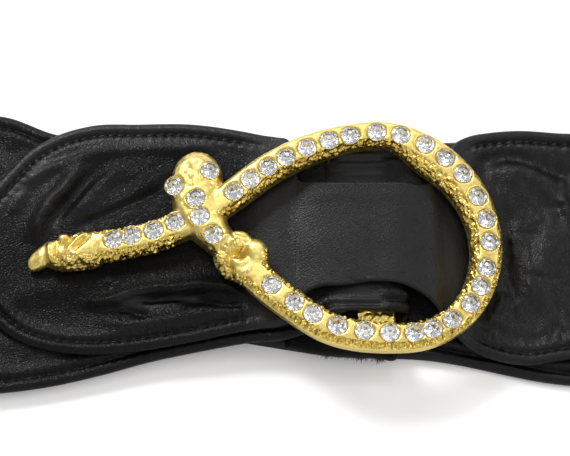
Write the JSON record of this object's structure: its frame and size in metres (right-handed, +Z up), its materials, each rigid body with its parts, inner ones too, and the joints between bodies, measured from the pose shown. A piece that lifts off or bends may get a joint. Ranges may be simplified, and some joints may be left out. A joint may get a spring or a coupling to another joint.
{
  "type": "rhinestone buckle belt",
  "caption": "Wide soft black leather belt, fastened and laid flat, with a gold-plated knotted stem buckle that is set with clear round cut stones.",
  "frame": {"origin": "middle of the belt's footprint, on the surface it lies on", "axes": "+X along the belt to the right with the buckle up, +Y across it, +Z up from the surface"},
  "size_m": [0.4, 0.072, 0.0175],
  "materials": {
    "gold_plate": "bright yellow gold plate on a casting: satin round the stones, nugget texture on the flanks",
    "black_leather": "soft black nappa, fine grain, slight sheen, hemmed and stitched",
    "clear_stone": "clear cut glass with a silver foil back"
  },
  "bodies": {
    "root": {"buckle_frame": "gold_plate", "left_strap": "black_leather", "right_strap": "black_leather", "stone_01": "clear_stone", "stone_02": "clear_stone", "stone_03": "clear_stone", "stone_04": "clear_stone", "stone_05": "clear_stone", "stone_06": "clear_stone", "stone_07": "clear_stone", "stone_08": "clear_stone", "stone_09": "clear_stone", "stone_10": "clear_stone", "stone_11": "clear_stone", "stone_12": "clear_stone", "stone_13": "clear_stone", "stone_14": "clear_stone", "stone_15": "clear_stone", "stone_16": "clear_stone", "stone_17": "clear_stone", "stone_18": "clear_stone", "stone_19": "clear_stone", "stone_20": "clear_stone", "stone_21": "clear_stone", "stone_22": "clear_stone", "stone_23": "clear_stone", "stone_24": "clear_stone", "stone_25": "clear_stone", "stone_26": "clear_stone", "stone_27": "clear_stone", "stone_28": "clear_stone", "stone_29": "clear_stone", "stone_30": "clear_stone", "stone_31": "clear_stone", "stone_32": "clear_stone", "stone_33": "clear_stone", "stone_34": "clear_stone", "stone_35": "clear_stone", "stone_36": "clear_stone"}
  },
  "joints": []
}
